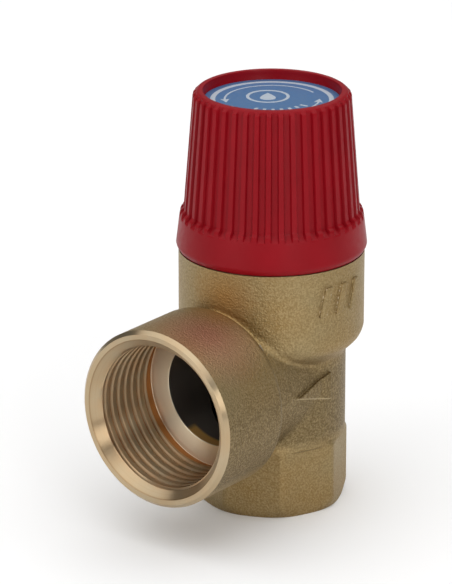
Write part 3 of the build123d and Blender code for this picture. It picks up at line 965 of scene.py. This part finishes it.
def turned_place(tree, place, origin, axis):
    """Offset square to a turning axis, its length, the place along the axis, and those two as a vector."""
    offset = vector_node(tree, "SUBTRACT", place, tuple(value * MM for value in origin))
    along = vector_node(tree, "DOT_PRODUCT", offset, axis, output=1)
    flat = vector_node(tree, "SUBTRACT", offset, vector_node(tree, "MULTIPLY", offset, axis))
    radius = vector_node(tree, "LENGTH", flat, output=1)
    return flat, radius, along, add(tree, "ShaderNodeCombineXYZ", {0: radius, 1: along}).outputs[0]


def turned_brass(name, origin, axis, stains_and_light=None):
    """Bright turned brass, its tool marks running round an axis."""
    made, tree, shader, place = material(name, Metallic=1.0, Anisotropic=0.9)
    flat, radius, along, marks = turned_place(tree, place, origin, axis)
    lines = noise(tree, marks, 5.0, 3.0, 0.7)
    cloud = noise(tree, place, 0.14, 3.0)
    brass = blended(tree, ranged(tree, cloud, 0.35, 0.7), (0.47, 0.385, 0.255), (0.45, 0.335, 0.20))
    brass = blended(tree, ranged(tree, lines, 0.5, 0.75, 0.0, 0.5), brass, (0.42, 0.28, 0.15))
    rough = ranged(tree, lines, 0.3, 0.7, 0.27, 0.36)
    # The outlet's own patches, with painted shade, highlight and bounce light.
    if stains_and_light:
        brass, rough = stains_and_light(tree, place, radius, along, brass, rough)
    round_way = vector_node(tree, "CROSS_PRODUCT", axis, flat)
    normal = add(tree, "ShaderNodeNewGeometry").outputs["Normal"]
    across = vector_node(tree, "NORMALIZE", vector_node(tree, "CROSS_PRODUCT", normal, round_way))
    tree.links.new(across, shader.inputs["Tangent"])
    finish(tree, shader, brass, rough, bump(tree, lines, 0.006))
    return made


def outlet_stains_and_light(tree, place, radius, along, brass, rough):
    """Outlet colours: brown patches, a dark mouth line, painted shade in roots, groove and passage, painted
    light at the shoulder.
    """
    patch = ranged(tree, noise(tree, place, 0.3, 3.0, 0.6), 0.35, 0.65, 0.1, 0.8)
    inside = ranged(tree, along, 0.9 * MM, 2.0 * MM, 0.3, 1.0)
    brass = blended(tree, math_node(tree, "MULTIPLY", patch, inside), brass, (0.54, 0.34, 0.18))
    edge = math_node(tree, "ABSOLUTE", math_node(tree, "SUBTRACT", radius, (MOUTH_R - 0.05) * MM))
    brass = blended(tree, ranged(tree, edge, 0.14 * MM, 0.05 * MM, 0.0, 0.6), brass, (0.30, 0.19, 0.09))
    # Painted shade, warm brown, in the thread roots and the relief groove.
    threads = ranged(tree, along, 2.0 * MM, 2.6 * MM)
    root = ranged(tree, radius, (OUTLET_MAJOR_R - 0.38) * MM, (OUTLET_MAJOR_R - 0.2) * MM)
    brass = blended(tree, math_node(tree, "MULTIPLY", root, threads), brass, (0.42, 0.18, 0.06))
    # Painted highlight: the shoulder past the groove is painted pale.
    shoulder = ranged(tree, along, (OUTLET_DEPTH - 0.1) * MM, (OUTLET_DEPTH - 0.05) * MM)
    brass = blended(tree, shoulder, brass, (0.95, 0.83, 0.62))
    # Painted shade: the passage beyond the shoulder is painted dark.
    passage = ranged(tree, along, (OUTLET_DEPTH + 0.12) * MM, (OUTLET_DEPTH + 0.2) * MM)
    brass = blended(tree, passage, brass, (0.2, 0.175, 0.15))
    # Painted bounce light: an orange glow on the passage floor just past the shoulder.
    low = ranged(tree, height_of(tree, place), 15.7 * MM, 15.2 * MM)
    near = ranged(tree, along, (OUTLET_DEPTH + 2.6) * MM, (OUTLET_DEPTH + 2.0) * MM)
    lip = math_node(tree, "MULTIPLY", math_node(tree, "MULTIPLY", low, near), passage)
    brass = blended(tree, lip, brass, (1.0, 0.62, 0.2))
    return brass, math_node(tree, "MAXIMUM", rough, ranged(tree, threads, 0, 1, 0, 0.4))


def moulded_plastic(name, first, second, rough, level=0.35):
    """Moulded plastic: faint cloudiness, a fine tooled texture and a few scuffs."""
    made, tree, shader, place = material(name, Specular_IOR_Level=level)
    cloud = noise(tree, place, 0.12, 2.0)
    fine = noise(tree, place, 2.2, 3.0, 0.6)
    scuff = noise(tree, place, 0.7, 4.0, 0.7)
    colour = blended(tree, ranged(tree, cloud, 0.35, 0.65), first, second)
    roughness = ranged(tree, scuff, 0.35, 0.7, rough - 0.06, rough + 0.08)
    finish(tree, shader, colour, roughness, bump(tree, fine, 0.012, bump(tree, cloud, 0.08)))
    return made


def rubber(name):
    """Black rubber, matt and slightly dusty."""
    made, tree, shader, place = material(name, Specular_IOR_Level=0.3)
    dust = noise(tree, place, 0.6, 4.0, 0.7)
    dusty = ranged(tree, dust, 0.5, 0.8, 0.0, 0.6)
    colour = blended(tree, dusty, (0.022, 0.022, 0.022), (0.075, 0.07, 0.065))
    finish(tree, shader, colour, ranged(tree, dust, 0.3, 0.7, 0.55, 0.75), bump(tree, dust, 0.03))
    return made


def steel(name, colour, rough):
    """Drawn or plated steel: fine streaks and slight stains."""
    made, tree, shader, place = material(name, Metallic=1.0)
    streak = noise(tree, vector_node(tree, "MULTIPLY", place, (1, 1, 6)), 1.4, 3.0, 0.6)
    stain = noise(tree, place, 0.25, 2.0)
    dull = tuple(0.8 * value for value in colour)
    metal = blended(tree, ranged(tree, stain, 0.4, 0.7), colour, dull)
    roughness = ranged(tree, streak, 0.3, 0.7, rough - 0.06, rough + 0.08)
    finish(tree, shader, metal, roughness, bump(tree, streak, 0.006))
    return made


def printed(name, colour, rough):
    """Screen print or label stock: slight mottling under a satin coat."""
    made, tree, shader, place = material(name, Coat_Weight=0.15, Coat_Roughness=0.3, Specular_IOR_Level=0.35)
    mottle = noise(tree, place, 0.9, 3.0, 0.6)
    worn = tuple(min(1.0, 0.86 * value + 0.03) for value in colour)
    ink = blended(tree, ranged(tree, mottle, 0.35, 0.7), colour, worn)
    roughness = ranged(tree, mottle, 0.3, 0.7, rough, rough + 0.1)
    finish(tree, shader, ink, roughness, bump(tree, mottle, 0.004))
    return made


def finishes():
    """One material for each of the record's slots, the outlet's turned brass and the pale print."""
    outlet_face = (0, OUTLET_FACE_Y, OUTLET_Z)
    red, deep_red = (0.25, 0.003, 0.008), (0.225, 0.0028, 0.007)
    grey, pale_grey = (0.03, 0.03, 0.033), (0.045, 0.045, 0.05)
    black, soft_black = (0.012, 0.012, 0.012), (0.02, 0.02, 0.02)
    ivory, dull_ivory = (0.72, 0.71, 0.66), (0.66, 0.65, 0.60)
    return {
        "forged_brass": forged_brass(),
        "turned_outlet": turned_brass("brass_turned_outlet", outlet_face, (0, 1, 0), outlet_stains_and_light),
        "turned_brass": turned_brass("brass_turned", (0, 0, 0), (0, 0, 1)),
        "knob_plastic": moulded_plastic("plastic_red", red, deep_red, 0.4, 0.12),
        "label_print": printed("label_blue", (0.036, 0.125, 0.285), 0.4),
        "print": printed("label_pale", (0.40, 0.46, 0.53), 0.4),
        "bonnet_plastic": moulded_plastic("plastic_glass_filled", grey, pale_grey, 0.5),
        "holder_plastic": moulded_plastic("plastic_black", black, soft_black, 0.42),
        "bush_plastic": moulded_plastic("plastic_acetal", ivory, dull_ivory, 0.35),
        "diaphragm_rubber": rubber("rubber_diaphragm"),
        "gasket_rubber": rubber("rubber_gasket"),
        "spring_steel": steel("steel_spring", (0.50, 0.50, 0.52), 0.32),
        "plated_steel": steel("steel_plated", (0.68, 0.67, 0.62), 0.28),
    }


def dress_cad_nodes(finish_of):
    """Every carried-over CAD node takes the finish of its own slot in the record."""
    slots = {part["node"]: part["material_slot"] for part in frame["record"]["subparts"]}
    for name, node in frame["nodes"].items():
        for index in range(len(node.data.materials)):
            node.data.materials[index] = finish_of[slots[name]]


# ---------------------------------------------------------------- camera, lights and floor

# The viewpoint: right of the outlet's axis and above, with the valve's middle left of the view's centre
AZIMUTH, TILT = math.radians(37.27), math.radians(19.645)
LENS, SENSOR = 246.58, 36.0
EYE_DISTANCE = 685.49
TARGET_Z = 36.676
TARGET_LEFT = 7.776
FORWARD = Vector((
    -math.sin(AZIMUTH) * math.cos(TILT), math.cos(AZIMUTH) * math.cos(TILT), -math.sin(TILT),
))

# Strengths of the white surroundings and of the even light from above
WORLD = 0.16
OVERHEAD = 2.9
# Soft boxes: name, azimuth right of the camera's and height in degrees, size in millimetres, power
SOFT_BOXES = (("key", 22, 18, 420, 2.0), ("fill", -45, 14, 600, 1.7), ("rear", 168, 20, 500, 0.06))
BOX_DISTANCE = 900.0
BOX_AIM = Vector((0, -8, 32))
FLOOR_HALF = 3000.0
FLOOR_DROP = 0.02


def camera():
    """The photograph's viewpoint."""
    right = Vector((math.cos(AZIMUTH), math.sin(AZIMUTH), 0))
    target = Vector((0, 0, TARGET_Z)) - TARGET_LEFT * right
    data = bpy.data.cameras.new("camera")
    data.sensor_width, data.lens = SENSOR, LENS
    data.clip_start, data.clip_end = 0.01, 20
    eye = bpy.data.objects.new("camera", data)
    turn = Matrix((right, right.cross(FORWARD), -FORWARD)).transposed().to_4x4()
    eye.matrix_world = Matrix.Translation((target - EYE_DISTANCE * FORWARD) * MM) @ turn
    scene.collection.objects.link(eye)
    scene.camera = eye


def soft_light(name, azimuth, height, size, power):
    """A round soft box aimed at the valve."""
    turn, lift = AZIMUTH + math.radians(azimuth), math.radians(height)
    away = Vector((math.sin(turn) * math.cos(lift), -math.cos(turn) * math.cos(lift), math.sin(lift)))
    data = bpy.data.lights.new(name, "AREA")
    data.shape, data.size, data.energy = "DISK", size * MM, power
    lamp = bpy.data.objects.new(name, data)
    lamp.location = (BOX_AIM + BOX_DISTANCE * away) * MM
    lamp.rotation_euler = away.to_track_quat("Z", "Y").to_euler()
    scene.collection.objects.link(lamp)


def overhead(strength, spread):
    """Even light from straight above, wide enough to leave only a faint shadow."""
    data = bpy.data.lights.new("overhead", "SUN")
    data.energy, data.angle = strength, math.radians(spread)
    scene.collection.objects.link(bpy.data.objects.new("overhead", data))


def studio():
    """White surroundings with a dark patch where the room behind the viewpoint would be."""
    world = bpy.data.worlds.new("studio")
    world.use_nodes = True
    tree = world.node_tree
    direction = add(tree, "ShaderNodeTexCoord").outputs["Generated"]
    toward = vector_node(tree, "DOT_PRODUCT", direction, tuple(-FORWARD), output=1)
    edge, core = math.cos(math.radians(34)), math.cos(math.radians(18))
    strength = ranged(tree, toward, edge, core, WORLD, 0.02)
    tree.links.new(strength, tree.nodes["Background"].inputs["Strength"])
    tree.nodes["Background"].inputs["Color"].default_value = (1, 1, 1, 1)
    scene.world = world
    overhead(OVERHEAD, 110)
    for box in SOFT_BOXES:
        soft_light(*box)
    scene.view_settings.view_transform = "Standard"


def floor():
    """A plain pale sheet just under the valve."""
    half, low = FLOOR_HALF, -FLOOR_DROP
    corners = [(-half, -half, low), (half, -half, low), (half, half, low), (-half, half, low)]
    piece = mesh_piece("floor", corners, [(0, 1, 2, 3)])
    paper, tree, shader, place = material("floor_paper", Roughness=0.9, Specular_IOR_Level=0.1)
    finish(tree, shader, blended(tree, noise(tree, place, 0.02), (0.90, 0.90, 0.90), (0.91, 0.91, 0.91)))
    piece.data.materials.append(paper)


def main():
    """Every visible piece in its finish, then the camera, lights and floor."""
    finish_of = finishes()
    dress_cad_nodes(finish_of)
    valve_body(finish_of["forged_brass"], finish_of["turned_outlet"], finish_of["turned_brass"])
    knob(finish_of["knob_plastic"])
    spring().data.materials.append(finish_of["spring_steel"])
    diaphragm().data.materials.append(finish_of["diaphragm_rubber"])
    label_print(finish_of["print"])
    camera()
    studio()
    floor()


main()
